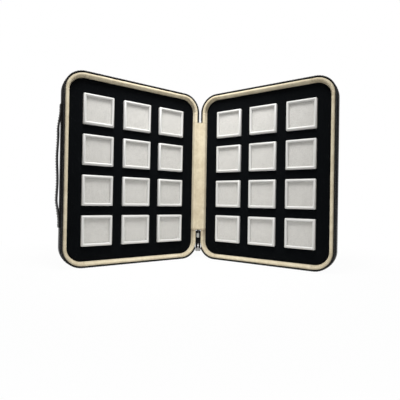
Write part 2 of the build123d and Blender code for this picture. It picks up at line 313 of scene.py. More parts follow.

# %% [markdown]
# ## Zip tape, teeth and metal
#
# Zip tape is woven: fine ribs run along it, crossed by the weft. That pattern follows
# the tape round the corners, so it reads the tape's own UV map, which is in millimetres.
# The teeth are smooth moulded plastic. The slider, pull and top stops are grey metal
# with faint brushing and some tarnish. The slider's face has a painted highlight, and its
# top and sides and the pull's neck have painted shade. The clip at the lower end is darker.

# %% Woven tape, plastic teeth, brushed metal
rib_pitch, weft_pitch = 0.55, 0.7
tape = Finish("woven_zip_tape", "zip_tape_black", Specular_IOR_Level=0.08)
tape_run, tape_across = tape.unwrapped()
ribs = (tape_across * (2 * pi / rib_pitch)).wave()
weft = (tape_run * (2 * pi / weft_pitch) + ribs * 1.2).wave()
weave = (ribs * 0.5 + weft * 0.5).between(-0.8, 0.8)
tape.set(Base_Color=tape.blend(weave, (0.0015, 0.0015, 0.0018), (0.0110, 0.0110, 0.0125)))
tape.set(Roughness=0.75 + tape.noise(300.0) * 0.15, Normal=tape.relief(weave, 0.06))

plastic = Finish("moulded_zip_teeth", "zip_plastic_black", Specular_IOR_Level=0.25)
scuff = plastic.noise(500.0, detail=4.0)
plastic.set(Base_Color=plastic.blend(scuff, (0.003, 0.003, 0.0033), (0.012, 0.012, 0.013)))
plastic.set(Roughness=0.26 + scuff * 0.2, Normal=plastic.relief(scuff, 0.01))

metal = Finish("brushed_grey_metal", "metal_grey", Metallic=1.0)
stretched = metal.node("ShaderNodeMapping", {"Vector": metal.place, "Scale": (9.0, 9.0, 1.0)})
brushing = metal.noise(420.0, detail=4.0, vector=stretched)
tarnish = metal.noise(240.0).between(0.45, 0.75)
metal_shade = metal.blend(brushing, (0.26, 0.255, 0.25), (0.46, 0.45, 0.44))
worn_shade = metal.blend(tarnish * 0.35, metal_shade, (0.20, 0.18, 0.16))
# Painted highlight: a lighter grey over the slider, which shows on its face.
highlighted_metal = metal.blend(metal.attribute("metal_painted_highlight"), worn_shade, (0.42, 0.42, 0.39))
# Painted shade: near black where the attribute is set, on the slider's top and sides and the pull's
# neck.
metal.set(Base_Color=metal.blend(metal.attribute("metal_painted_shade"), highlighted_metal, (0.014, 0.014, 0.015)))
metal.set(Roughness=0.24 + brushing * 0.12 + tarnish * 0.1, Normal=metal.relief(brushing, 0.006))

# The clip at the zip's lower end is a darker metal.
dark_metal = Finish("dark_clip_metal", "metal_grey", Metallic=1.0)
sooty = dark_metal.noise(380.0, detail=4.0)
dark_metal.set(Base_Color=dark_metal.blend(sooty, (0.006, 0.006, 0.006), (0.020, 0.020, 0.019)))
dark_metal.set(Roughness=0.35 + sooty * 0.2, Normal=dark_metal.relief(sooty, 0.01))

# %% [markdown]
# ## The small boxes
#
# The boxes are white moulded plastic with a clear pane. Plain white would look dead, so
# the plastic gets faint clouding and very fine texture from the mould. The pad under the
# pane is pale grey foam, with open pores that show as soft speckle.

# %% White plastic, grey pad and clear pane
white = Finish("white_box_plastic", "box_white", Specular_IOR_Level=0.45, Coat_Roughness=0.2)
haze = white.noise(120.0, detail=4.0)
white.set(Base_Color=white.blend(haze, (0.70, 0.695, 0.67), (0.76, 0.755, 0.73)))
white.set(Roughness=0.36 + haze * 0.12, Coat_Weight=0.12 + haze * 0.1)
white.set(Normal=white.relief(white.noise(1800.0, detail=2.0), 0.012))

pad_foam = Finish("grey_pad_foam", "box_white", Specular_IOR_Level=0.15)
cell = pad_foam.cells(1150.0).between(0.05, 0.6)
shade = pad_foam.noise(210.0, detail=5.0, roughness=0.7)
speckle = pad_foam.noise(700.0)
pad_tone = (shade * 0.45 + speckle * 0.3 + cell * 0.25).between(0.3, 0.7)
pad_foam.set(Base_Color=pad_foam.blend(pad_tone, (0.56, 0.542, 0.505), (0.70, 0.682, 0.64)))
pad_foam.set(Roughness=0.9 + shade * 0.08, Normal=pad_foam.relief(cell + speckle, 0.09))

glass = Finish("clear_pane", "box_white", IOR=1.45, Specular_IOR_Level=0.5)
smear = glass.noise(150.0, detail=4.0)
glass.set(Base_Color=glass.blend(smear, (0.80, 0.82, 0.83), (0.90, 0.91, 0.92)))
glass.set(Roughness=0.04 + smear * 0.06, Alpha=0.05 + smear * 0.03)
print("finishes:", ", ".join(m.name for m in bpy.data.materials if m.use_nodes and m.users == 0))

# %% [markdown]
# ## From bench mesh to finished piece
#
# Each piece is one mesh, stood up by its half's matrix, so its object can stay at the
# origin as the CAD nodes do. It then rides on a body, so that the joints move it, and
# the CAD nodes it stands for are hidden.


# %% Finish a piece
def add_object(name, data):
    """An object in the scene's own collection."""
    made = bpy.data.objects.new(name, data)
    bpy.context.scene.collection.objects.link(made)
    return made


def piece_object(bm, name, finish, half=None, sharp=35.0):
    """Stands a bench mesh up and makes it an object with its finish."""
    if half:
        bmesh.ops.transform(bm, matrix=half.stand, verts=bm.verts)
        if half.side == LEFT:
            bmesh.ops.reverse_faces(bm, faces=bm.faces)
    mesh = bpy.data.meshes.new(name)
    bm.to_mesh(mesh)
    bm.free()
    mesh.shade_smooth()
    mesh.set_sharp_from_angle(angle=radians(sharp))
    mesh.materials.append(finish.material)
    piece = add_object(name, mesh)
    return piece


def riding_piece(bm, name, finish, body, nodes=(), half=None, sharp=35.0):
    """A piece that rides on a body and stands for CAD nodes."""
    piece = piece_object(bm, name, finish, half, sharp)
    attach(piece, body)
    if nodes:
        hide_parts(*nodes)
    return piece


def half_piece(half, bm, word, finish, node=None, sharp=35.0):
    """A piece of one half. Its name starts with the half's hand, as its CAD node's does."""
    nodes = [f"{half.hand}_{node}"] if node else ()
    piece = riding_piece(bm, f"{half.hand}_{word}", finish, half.body, nodes, half, sharp)
    print(piece.name, len(piece.data.polygons), "faces")
    return piece


# %% [markdown]
# ## Going round the outline
#
# The cover, roll, tape and teeth all follow one line: a rectangle with round corners.
# A real maker bends one strip round it. Here a profile is drawn across the spine side,
# extruded along each straight and spun round each corner, which keeps its section the
# same all the way. Two methods turn a distance round the outline into a place and back.


# %% The outline's straights and corners
class Outline:
    """The round-cornered outline of a half. Distances run from the spine side's middle, upwards."""

    def __init__(self, width, height, radius):
        self.width, self.height, self.radius = width, height, radius
        side, top = height - 2 * radius, width - 2 * radius
        right, high = width - radius, height - radius
        turn = pi * radius / 2
        self.legs = [
            (side / 2, (0, 1), None),
            (turn, None, (radius, high)),
            (top, (1, 0), None),
            (turn, None, (right, high)),
            (side, (0, -1), None),
            (turn, None, (right, radius)),
            (top, (-1, 0), None),
            (turn, None, (radius, radius)),
            (side / 2, (0, 1), None),
        ]
        self.length = sum(leg[0] for leg in self.legs)

    def station(self, distance, inset=0.0, depth=0.0):
        """The bench point at a distance round the outline, and the direction outwards there."""
        at, facing = Vector((self.radius, self.height / 2)), pi
        distance %= self.length
        for length, heading, _ in self.legs:
            run = min(distance, length)
            if heading:
                at = at + Vector(heading) * run
            else:
                facing -= run / self.radius
            distance -= run
            if distance <= 0:
                break
        outward = Vector((cos(facing), sin(facing), 0))
        core = Vector((at.x, at.y, depth))
        return core + outward * (self.radius - inset), outward

    def where(self, point):
        """How far round the outline a bench point is, and how far in from its edge."""
        x = min(max(point.x, self.radius), self.width - self.radius)
        y = min(max(point.y, self.radius), self.height - self.radius)
        dx, dy = point.x - x, point.y - y
        inset = self.radius - hypot(dx, dy)
        angle = Vector((-1, 0)).angle_signed(Vector((dx, dy)), 0.0) if dx or dy else 0.0
        turned = angle % (2 * pi)
        side, top = self.height - 2 * self.radius, self.width - 2 * self.radius
        up, over = y - self.radius, x - self.radius
        quarter, near = pi / 2, 1e-6
        distance = self.radius * turned + side / 2
        if turned < near or turned > 2 * pi - near:
            return (up - side / 2) % self.length, inset
        if turned >= quarter - near:
            distance += over if turned < 2 * quarter - near else top
        if turned >= 2 * quarter - near:
            distance += side - up if turned < 3 * quarter - near else side
        if turned >= 3 * quarter - near:
            distance += top - over
        return distance, inset


outline = Outline(case_width, case_height, corner_radius)
print(f"outline {outline.length:.1f} mm round")
for place in (5, 90, 210, 300, 440, 540, 630):
    spot, _ = outline.station(place, 3.0)
    back, inset = outline.where(spot)
    print(f"  {place} mm round comes back as {back:.2f}, {inset:.2f} mm in")


# %% Carry a profile round it
weld = 0.004


def lay_profile(bm, points, height, closed=False):
    """Draws a profile of (inset, depth) points across the spine side, at a height."""
    verts = [bm.verts.new((inset, height, depth)) for inset, depth in points]
    ends = verts[1:] + verts[:1] if closed else verts[1:]
    return [bm.edges.new(pair) for pair in zip(verts, ends)]


def draw_out(bm, edges, move):
    """Extrudes a row of edges by one step and gives back the new row."""
    made = bmesh.ops.extrude_edge_only(bm, edges=edges)["geom"]
    verts = {v for v in made if isinstance(v, bmesh.types.BMVert)}
    bmesh.ops.translate(bm, verts=list(verts), vec=move)
    return [e for e in made if isinstance(e, bmesh.types.BMEdge) and set(e.verts) <= verts]


def carry_round(bm, edges, first, last, step, turns):
    """Draws a profile along the straights and spins it round the corners, from first to last."""
    start = 0.0
    for length, heading, centre in outline.legs:
        run = min(start + length, last) - max(start, first)
        start += length
        if run < 1e-6:
            continue
        if heading:
            count = max(1, ceil(run / step))
            for _ in range(count):
                edges = draw_out(bm, edges, Vector((*heading, 0)) * (run / count))
        else:
            spun = bmesh.ops.spin(
                bm, geom=edges, cent=(*centre, 0), axis=(0, 0, -1), angle=run / corner_radius,
                steps=max(2, ceil(turns * run / length)), dvec=(0, 0, 0), use_duplicate=False,
            )
            edges = [e for e in spun["geom_last"] if isinstance(e, bmesh.types.BMEdge)]


def mirror_round(bm):
    """Turns a quarter into the whole outline: mirrored up and down, then side to side."""
    centre = Matrix.Translation((-case_width / 2, -middle, 0))
    for axis in "YX":
        whole = bm.verts[:] + bm.edges[:] + bm.faces[:]
        bmesh.ops.mirror(bm, geom=whole, matrix=centre, merge_dist=-1.0, axis=axis)
    bmesh.ops.remove_doubles(bm, verts=bm.verts, dist=weld)
    bmesh.ops.recalc_face_normals(bm, faces=bm.faces)


def carry_all_round(bm, points, step, turns, closed=False):
    """A profile all the way round: one quarter is carried, and the rest is its mirror image."""
    edges = lay_profile(bm, points, middle, closed)
    carry_round(bm, edges, 0, outline.length / 4, step, turns)
    mirror_round(bm)


def cap_ends(bm):
    """Closes the open ends of a carried strip."""
    bmesh.ops.holes_fill(bm, edges=[e for e in bm.edges if e.is_boundary], sides=0)
    bmesh.ops.recalc_face_normals(bm, faces=bm.faces)


def unwrap(bm, across):
    """Lays a UV map in millimetres: distance round the outline, and across(inset, depth)."""
    layer = bm.loops.layers.uv.new("pattern")
    for face in bm.faces:
        places = [(*outline.where(loop.vert.co), loop.vert.co.z) for loop in face.loops]
        far = max(place[0] for place in places)
        for loop, (distance, inset, depth) in zip(face.loops, places):
            if far - distance > outline.length / 2:
                distance += outline.length
            loop[layer].uv = (distance, across(inset, depth))


# %% Small tools that many pieces share
def paint(bm, name, value):
    """Stores a number for each point, for a material to read."""
    layer = bm.verts.layers.float.new(name)
    for vert in bm.verts:
        vert[layer] = value(vert.co)


def smoothstep(start, end, value):
    """0 before start, 1 past end, and smooth between them. It falls where end is lower."""
    t = min(max((value - start) / (end - start), 0.0), 1.0)
    return t * t * (3 - 2 * t)


def arc(x, depth, across, deep, first, last, count):
    """Points of an ellipse about (x, depth), from one angle to another, both included."""
    angles = [first + (last - first) * i / count for i in range(count + 1)]
    return [(x - across * cos(a), depth + deep * sin(a)) for a in angles]


def round_edges(bm, geom, radius, segments, affect="EDGES"):
    bmesh.ops.bevel(
        bm, geom=geom, offset=radius, offset_type="OFFSET", segments=segments,
        profile=0.5, affect=affect, material=-1, clamp_overlap=True,
    )


def cut_all(bm, at, facing):
    """Cuts every face with a plane, so that points lie along it."""
    whole = bm.verts[:] + bm.edges[:] + bm.faces[:]
    bmesh.ops.bisect_plane(bm, geom=whole, plane_co=at, plane_no=facing)


def extrude_down(bm, drop):
    """Gives a flat sheet its thickness, towards the outer back."""
    made = bmesh.ops.extrude_face_region(bm, geom=bm.faces[:])["geom"]
    verts = [v for v in made if isinstance(v, bmesh.types.BMVert)]
    bmesh.ops.translate(bm, verts=verts, vec=(0, 0, -drop))


def face_against(bm, axis):
    """Turns a sheet's faces so that they look against an axis."""
    bmesh.ops.recalc_face_normals(bm, faces=bm.faces)
    if sum(f.normal[axis] * f.calc_area() for f in bm.faces) > 0:
        bmesh.ops.reverse_faces(bm, faces=bm.faces)


def thicken(bm, thickness):
    """Gives a curved sheet its thickness."""
    bmesh.ops.solidify(bm, geom=bm.faces[:], thickness=thickness)
    bmesh.ops.recalc_face_normals(bm, faces=bm.faces)


def refinish(node, finish):
    """Gives its finish to a CAD node that is shown as it is."""
    materials = frame["nodes"][node].data.materials
    materials.clear()
    materials.append(finish.material)


# %% [markdown]
# ## The leather cover
#
# The cover is one sheet of leather-look vinyl, pressed over the padding: a flat back,
# a rounded edge and a wall. Its wall ends where the zip tape is sewn in, and stands
# higher along the spine, where no zip runs. The profile goes down the outside and back
# up the inside, so the sheet has its real thickness and a rounded raw edge.

# %% Cover sheet
wall_top = 14.5
spine_wall_top = 19.0
sheet_thickness = 0.8
back_radius = 6.0
flat_starts = 18.5
dome = 0.22
raw_round, raw_drop = 0.12, 0.25
half_spine = spine_length / 2


def cover_profile():
    """Outside of the sheet from the back to the raw edge, then the inside down again."""
    points = [(flat_starts, 0.0), (14.0, 0.02), (10.0, 0.10), (7.5, dome)]
    points += arc(back_radius, back_radius, back_radius, back_radius - dome, -pi / 2, 0, 8)[1:]
    points += [(0.0, 9.0), (0.0, 12.0), (0.0, wall_top - raw_drop), (raw_round, wall_top - 0.05)]
    points += [(sheet_thickness - raw_round, wall_top - 0.05)]
    points += [(sheet_thickness, depth) for depth in (wall_top - raw_drop, 12.0, 9.0)]
    inside = back_radius - sheet_thickness
    points += arc(back_radius, back_radius - 0.03, inside, inside, 0, -pi / 2, 6)
    return points + [(flat_starts, sheet_thickness - 0.03)]


def from_spine(distance):
    """How far round the outline from the spine's middle, whichever way is shorter."""
    return min(distance, outline.length - distance)


def wear_at(co):
    """1 on the back's rounded edge and on the raw edge at the wall's top, where hands rub."""
    _, inset = outline.where(co)
    edge = smoothstep(6.5, 2.0, inset) * smoothstep(5.5, 1.0, co.z)
    return max(edge, smoothstep(wall_top - 0.6, wall_top - 0.1, co.z))


def make_cover(half):
    bm = bmesh.new()
    carry_all_round(bm, cover_profile(), 1.5, 22)
    cap_ends(bm)
    lift = spine_wall_top - wall_top
    wall_low = 11.5
    for vert in bm.verts:
        distance, inset = outline.where(vert.co)
        if inset < 3.0 and vert.co.z > wall_low:
            share = smoothstep(half_spine + 1.2, half_spine - 0.8, from_spine(distance))
            vert.co.z += lift * share * smoothstep(wall_low, wall_top - 0.5, vert.co.z)
        swell = noise.noise(Vector((distance * 0.035, vert.co.z * 0.12, half.side * 5.0)))
        if vert.co.z < wall_top - 0.6 and inset < 12:
            rim = smoothstep(12.0, 6.0, inset) * smoothstep(3.0, 0.5, vert.co.z)
            vert.co.z += 0.10 * (swell + 0.6) * rim
    paint(bm, "wear", wear_at)
    half_piece(half, bm, "leather_cover", leather, "cover")


for half in halves:
    make_cover(half)

# %% [markdown]
# ## Stitches
#
# A row of thread holds the zip tape behind the wall, and along the spine it holds the
# spine's leather. Each stitch is a small capsule lying along the seam, slightly sunk in
# the leather. There are hundreds of them, so one has only two dozen faces.

# %% Stitch row round the wall
stitch_pitch = 2.8
stitch_length = 2.1
thread_width = 0.42
thread_height = 0.17
seam_drop = 2.4


def add_stitch(bm, at, along, out, length=stitch_length):
    """One stitch: a small capsule along the seam."""
    side = out.cross(along)
    shape = placing(along * length / 2, side * thread_width / 2, out * thread_height, at)
    bmesh.ops.create_uvsphere(bm, u_segments=6, v_segments=4, radius=1.0, matrix=shape)


def make_wall_stitches(half):
    bm = bmesh.new()
    quarter = outline.length / 4
    count = round(quarter / stitch_pitch)
    for i in range(count):
        at, outward = outline.station((i + 0.5) * quarter / count, -0.04, wall_top - seam_drop)
        add_stitch(bm, at, Vector((outward.y, -outward.x, 0)), outward)
    mirror_round(bm)
    for vert in bm.verts:
        distance, _ = outline.where(vert.co)
        if vert.co.x < case_width / 2 and from_spine(distance) <= half_spine + 1.0:
            vert.co.z += spine_wall_top - wall_top
    half_piece(half, bm, "wall_stitches", thread)


for half in halves:
    make_wall_stitches(half)

# %% [markdown]
# ## Wall padding
#
# Under the leather lies a moulded tray of soft foam, which makes the case feel padded.
# It is hidden when the case is whole, but it is part of it, so it is built too: the same
# outline, one size smaller.


# %% Moulded padding tray
def make_padding(half):
    bm = bmesh.new()
    outer, inner, top = 0.9, 3.15, 12.05
    bend = back_radius - outer
    profile = [(flat_starts, outer), (7.0, outer)]
    profile += arc(back_radius, back_radius, bend, bend, -pi / 2, 0, 6)[1:]
    profile += [(outer, 9.0), (outer, 11.7), (1.3, top), (2.8, top), (inner, 11.7), (inner, 5.0)]
    profile += [(3.4, 2.9), (4.0, 2.4), (flat_starts, 2.4)]
    carry_all_round(bm, profile, 6.0, 12)
    cap_ends(bm)
    for vert in bm.verts:
        distance, _ = outline.where(vert.co)
        vert.co += 0.05 * noise.noise_vector(vert.co * 0.09 + Vector((distance * 0.01, 0, 0)))
    piece = half_piece(half, bm, "padding_tray", padding, "padding")


for half in halves:
    make_padding(half)
    refinish(f"{half.hand}_back_board", board)

# %% [markdown]
# ## Padded roll
#
# The roll is a strip of suede folded over a soft core and sewn in round the mouth. The
# strip is straight, so at the corners it has too much cloth on its inner side, which
# gathers in small radial puckers. The tube is thin and tight, so nothing is simulated:
# each point moves out or in along its section by slow lumps, fine ripples and puckers.

# %% Roll section
roll_middle = 3.50
roll_radius = 1.78
roll_top = 21.0
roll_centre = roll_top - roll_radius
pucker_pitch = 1.3
spine_squeeze = 0.45


def roll_profile():
    """An outer wall, a full round top and a slanting inner face down beside the foam."""
    outer, inner = roll_middle - roll_radius, roll_middle + roll_radius
    points = [(outer + 0.03, 12.3), (outer, 15.5)]
    points += arc(roll_middle, roll_centre, roll_radius, roll_radius, 0, pi, 12)
    points += [(inner + 0.12, 17.4), (inner + 0.36, 15.8)]
    return points + [(inner + 0.56, 14.2), (inner + 0.6, 12.0)]


# Where the painted shade low on the roll's spine side is strongest.
spine_shade_low = outline.length - half_spine - 4.0
corner_middles = []
reach = 0.0
for length, heading, centre in outline.legs:
    if not heading:
        corner_middles.append(reach + length / 2)
    reach += length


def at_corner(distance):
    """1 in the middle of a corner, 0 on the straights."""
    quarter = pi * corner_radius / 4
    return max(smoothstep(quarter + 7.0, quarter - 2.0, abs(distance - m)) for m in corner_middles)


def shape_roll(co, side):
    """Where a point of the plain roll goes, and how much painted shade the suede gets there."""
    distance, inset = outline.where(co)
    height = co.z - foam_top
    if height <= -1.0:
        return co, 0.0
    _, outward = outline.station(distance)
    above = smoothstep(-1.0, 1.5, height)
    lumps = noise.noise(Vector((distance * 0.16, side * 7.0, inset * 0.2)))
    ripple = noise.noise(Vector((distance * 0.75, side * 3.0 + inset * 0.3, 4.0)))
    drift = noise.noise(Vector((distance * 0.4, side, 9.0)))
    bend = at_corner(distance)
    inner = smoothstep(2.2, 5.4, inset)
    fold = sin(distance / pucker_pitch * 2 * pi + 2.2 * drift)
    pucker = fold * (0.35 + 0.65 * inner)
    swell = -0.05 + 0.10 * lumps + 0.05 * ripple + bend * 0.16 * pucker
    swell -= spine_squeeze * smoothstep(half_spine + 1.5, half_spine - 0.5, from_spine(distance))
    section = Vector((inset - roll_middle, co.z - roll_centre))
    if section.length > 0.2:
        section.normalize()
    move = (UP * section.y - outward * section.x) * swell * above
    # Painted shade in the folds of the corner puckers.
    suede_painted_shade = bend * smoothstep(-0.2, -1.0, fold) * (0.15 + 0.6 * inner) * above
    # Painted shade low on the spine side, where the halves meet near the slider.
    wear_and_shade = smoothstep(spine_shade_low - 9.0, spine_shade_low, distance)
    wear_and_shade *= smoothstep(outline.length, spine_shade_low, distance)
    return co + move, max(suede_painted_shade, 0.42 * wear_and_shade)


def make_roll(half):
    bm = bmesh.new()
    carry_all_round(bm, roll_profile(), 1.0, 130, closed=True)
    layer = bm.verts.layers.float.new("suede_painted_shade")
    for vert in bm.verts:
        vert.co, vert[layer] = shape_roll(vert.co, half.side)
    piece = half_piece(half, bm, "suede_roll", suede, "padded_roll", sharp=80.0)


for half in halves:
    make_roll(half)

# %% [markdown]
# ## Zip tape and teeth
#
# The woven tape is sewn behind the leather wall and stands up out of it, with the teeth
# along its free edge. It runs from the top of the spine round to the bottom, and is cut
# low where the slider parks. Each tooth is its own small bar. The right half's teeth
# are set half a pitch further on, so that the two rows mesh when the case is zipped up.

# %% Tape
tape_top = 20.5
parked_top = 16.1
slider_side_top = 18.4
slider_clear = 1.08
tape_start = half_spine + 0.4
tape_end = outline.length - half_spine - 0.4
teeth_start = tape_start + 2.2
corner_end = outline.length - (case_height / 2 - corner_radius)
teeth_end = corner_end - corner_radius * 0.47


def make_tape(half):
    bm = bmesh.new()
    profile = [(0.85, 12.3), (0.85, 14.6), (0.62, 17.0), (0.50, 18.6), (0.52, tape_top)]
    profile += [(1.45, tape_top), (1.48, 18.6), (1.42, 17.0), (1.35, 12.3)]
    edges = lay_profile(bm, profile, middle + tape_start, closed=True)
    carry_round(bm, edges, tape_start, tape_end, 2.5, 16)
    cap_ends(bm)
    for vert in bm.verts:
        distance, inset = outline.where(vert.co)
        _, outward = outline.station(distance)
        if distance > teeth_end and vert.co.z > 14.0:
            beside_slider = smoothstep(18.0, 20.5, vert.co.y)
            low_top = parked_top + (slider_side_top - parked_top) * beside_slider
            cut = smoothstep(teeth_end, teeth_end + 4.0, distance)
            vert.co.z = min(vert.co.z, tape_top + (low_top - tape_top) * cut)
            vert.co -= outward * max(0.0, slider_clear - inset) * cut
        elif vert.co.z > 15.0:
            vert.co += outward * 0.05 * noise.noise(Vector((distance * 0.25, half.side * 2.0, 1.0)))
    unwrap(bm, lambda inset, depth: depth + inset)
    half_piece(half, bm, "woven_tape", tape, "zip_tape")


for half in halves:
    make_tape(half)

# %% Teeth
tooth_pitch = 1.5
tooth_size = Vector((1.05, 1.12, 1.6))
tooth_inset, tooth_depth = 0.8, 20.38


def make_teeth(half):
    bm = bmesh.new()
    run = teeth_end - teeth_start
    count = int(run / tooth_pitch)
    shift = 0.25 * tooth_pitch * half.side
    for i in range(count):
        distance = teeth_start + (i + 0.5) * run / count + shift
        at, outward = outline.station(distance, tooth_inset, tooth_depth)
        along = Vector((outward.y, -outward.x, 0))
        shape = placing(along * tooth_size.x, outward * tooth_size.y, UP * tooth_size.z, at)
        bmesh.ops.create_cube(bm, size=1.0, matrix=shape)
    round_edges(bm, bm.edges[:], 0.2, 1)
    bmesh.ops.recalc_face_normals(bm, faces=bm.faces)
    half_piece(half, bm, "row_of_teeth", plastic, "zip_teeth", sharp=50.0)


for half in halves:
    make_teeth(half)
    refinish(f"{half.hand}_zip_top_stop", metal)

# %% [markdown]
# ## Foam insert
#
# The insert is a slab of dense black foam with twelve square pockets punched through it.
# The slab starts as one rounded face. Planes cut it along the pocket lines, the pocket
# squares are taken out, and the rest is extruded to its thickness. A small bevel gives
# the punched rims the soft edge that pressed foam has.

# %% Cut and extrude the insert
columns, rows = 3, 4
column_pitch, row_pitch = 40.0, 39.5
box_side = 30.0
grid_middle = Vector((75.0, middle))
pocket_side = box_side + 0.6
pocket_round = 0.45
foam_inset = 5.95
foam_edge_round = 3.0


def box_middle(column, row):
    """Middle of a pocket on the bench. Column 0 is nearest the spine, row 0 at the top."""
    x = grid_middle.x + (column - (columns - 1) / 2) * column_pitch
    return Vector((x, grid_middle.y + ((rows - 1) / 2 - row) * row_pitch, 0))


def make_foam(half):
    bm = bmesh.new()
    size = Matrix.Diagonal((case_width - 2 * foam_inset, case_height - 2 * foam_inset, 1, 1))
    lay = Matrix.Translation((case_width / 2, middle, foam_top)) @ size
    bmesh.ops.create_grid(bm, x_segments=1, y_segments=1, size=0.5, matrix=lay)
    round_edges(bm, bm.verts[:], corner_radius - foam_inset, 16, affect="VERTICES")
    middles = [box_middle(c, r) for c in range(columns) for r in range(rows)]
    for edge in (-pocket_side / 2, pocket_side / 2):
        for x in sorted({m.x for m in middles}):
            cut_all(bm, (x + edge, 0, foam_top), (1, 0, 0))
        for y in sorted({m.y for m in middles}):
            cut_all(bm, (0, y + edge, foam_top), (0, 1, 0))
    pockets = [
        f for f in bm.faces
        if any((f.calc_center_median().xy - m.xy).length < 5 for m in middles)
    ]
    bmesh.ops.delete(bm, geom=pockets, context="FACES")
    extrude_down(bm, foam_top - board_top)
    bmesh.ops.recalc_face_normals(bm, faces=bm.faces)
    rims = [
        e for e in bm.edges
        if e.calc_face_angle(0) > 1.0 and all(v.co.z > foam_top - 0.01 for v in e.verts)
    ]
    outer = [e for e in rims if all(outline.where(v.co)[1] < foam_inset + 0.5 for v in e.verts)]
    round_edges(bm, [e for e in rims if e not in outer], pocket_round, 3)
    round_edges(bm, outer, foam_edge_round, 6)
    piece = half_piece(half, bm, "foam", foam, "foam_insert")


for half in halves:
    make_foam(half)

# %% [markdown]
# ## Display boxes
#
# A display box is a white base with a framed lid, a soft pad and a clear pane. The lid's
# frame isn't flat: a ridge runs round it and the face slopes down to the window, which
# is what catches the light in a bright line. Insets of the top face make that shape, and
# bevels round its edges.

# %% One box shell
box_seat = 3.9
box_top = 19.4
lid_bottom = 14.0
lid_gap = 0.2
frame_width = 2.75
ridge_inset = 1.45
shoulder_drop, window_drop = 1.3, 0.95
box_corner = 1.0
pad_seat = 16.1


def block(bm, side, low, high):
    """A square block about the box's middle, between two depths."""
    size = Matrix.Diagonal((side, side, high - low, 1))
    bmesh.ops.create_cube(bm, size=1.0, matrix=Matrix.Translation(UP * (low + high) / 2) @ size)


def step_in(bm, face, inset, drop):
    """Insets a face and lowers it."""
    bmesh.ops.inset_region(bm, faces=[face], thickness=inset, use_even_offset=True)
    bmesh.ops.translate(bm, verts=face.verts[:], vec=(0, 0, -drop))


def bent_edges_at(bm, depth):
    """The edges that lie level at a depth and have a bend along them."""
    level = [e for e in bm.edges if all(abs(v.co.z - depth) < 0.01 for v in e.verts)]
    return [e for e in level if e.calc_face_angle(0) > 0.5]


def corner_edges(bm):
    """The box's four outer corner edges."""
    upright = [e for e in bm.edges if (e.verts[0].co.xy - e.verts[1].co.xy).length < 0.01]
    return [e for e in upright if abs(e.verts[0].co.x) > box_side / 2 - 0.1]


def make_box_shell():
    """Base and lid of one box, about its own middle."""
    bm = bmesh.new()
    block(bm, box_side, lid_bottom, box_top)
    top = max(bm.faces, key=lambda f: f.calc_center_median().z)
    step_in(bm, top, ridge_inset, 0)
    shoulder = [v for v in bm.verts if v.co.z > box_top - 0.01 and v not in top.verts[:]]
    bmesh.ops.translate(bm, verts=shoulder, vec=(0, 0, -shoulder_drop))
    step_in(bm, top, frame_width - ridge_inset, window_drop)
    step_in(bm, top, 0.02, box_top - window_drop - pad_seat)
    round_edges(bm, corner_edges(bm), box_corner, 4)
    for drop, radius, segments in ((0, 0.45, 3), (shoulder_drop, 0.6, 3), (window_drop, 0.2, 2)):
        round_edges(bm, bent_edges_at(bm, box_top - drop), radius, segments)
    base = bmesh.new()
    block(base, box_side, box_seat, lid_bottom - lid_gap)
    round_edges(base, corner_edges(base), box_corner, 4)
    foot = [e for e in base.edges if all(v.co.z < box_seat + 0.1 for v in e.verts)]
    round_edges(base, foot, 0.35, 2)
    block(base, box_side - 2.8, lid_bottom - 0.6, lid_bottom + 0.3)
    kept = bpy.data.meshes.new("base")
    base.to_mesh(kept)
    base.free()
    bm.from_mesh(kept)
    bpy.data.meshes.remove(kept)
    bmesh.ops.recalc_face_normals(bm, faces=bm.faces)
    return bm


box_shell = make_box_shell()
print("box shell:", len(box_shell.faces), "faces")

# %% [markdown]
# ## Pad and pane
#
# The pad is a square of soft foam, cut a little large and pressed in, so it crowns in
# the middle and dips at its edges. No two are the same: each gets its own slow waves.
# The pane is a thin sheet with polished edges.

# %% Pads and panes
window_side = box_side - 2 * frame_width
pad_top, pad_bottom = 16.75, pad_seat + 0.05
pane_low, pane_high = 17.45, 18.4


def make_pad(seed):
    """A crowned square of soft foam, about its own middle."""
    bm = bmesh.new()
    reach = (window_side - 0.3) / 2
    lay = Matrix.Translation(UP * pad_top)
    bmesh.ops.create_grid(bm, x_segments=14, y_segments=14, size=reach, matrix=lay)
    extrude_down(bm, pad_top - pad_bottom)
    for vert in bm.verts:
        if vert.co.z > pad_top - 0.25:
            x, y = vert.co.x / reach, vert.co.y / reach
            crown = 0.42 * (1 - abs(x) ** 3.5) * (1 - abs(y) ** 3.5)
            wave = 0.20 * noise.noise(Vector((x * 1.7, y * 1.7, seed * 3.7)))
            vert.co.z += crown - 0.22 + wave * (1 - x * x) * (1 - y * y)
    bmesh.ops.recalc_face_normals(bm, faces=bm.faces)
    return bm


def make_pane():
    """The clear pane, with polished edges."""
    bm = bmesh.new()
    block(bm, window_side - 0.12, pane_low, pane_high)
    round_edges(bm, bm.edges[:], 0.12, 2)
    return bm


for half in halves:
    for column in range(columns):
        for row in range(rows):
            shown = column if half.side == RIGHT else columns - 1 - column
            place = f"r{row + 1}_c{shown + 1}"
            node = f"{half.hand}_gem_box_{place}"
            seed = column + row * columns + (half.side + 1) * 20
            for word, bm, finish, stands in (
                ("shell", box_shell.copy(), white, [node]),
                ("pad", make_pad(seed), pad_foam, ()),
                ("pane", make_pane(), glass, ()),
            ):
                bmesh.ops.translate(bm, verts=bm.verts, vec=box_middle(column, row))
                name = f"{half.hand}_box_{place}_{word}"
                piece = riding_piece(bm, name, finish, node, stands, half, sharp=40.0)
box_shell.free()

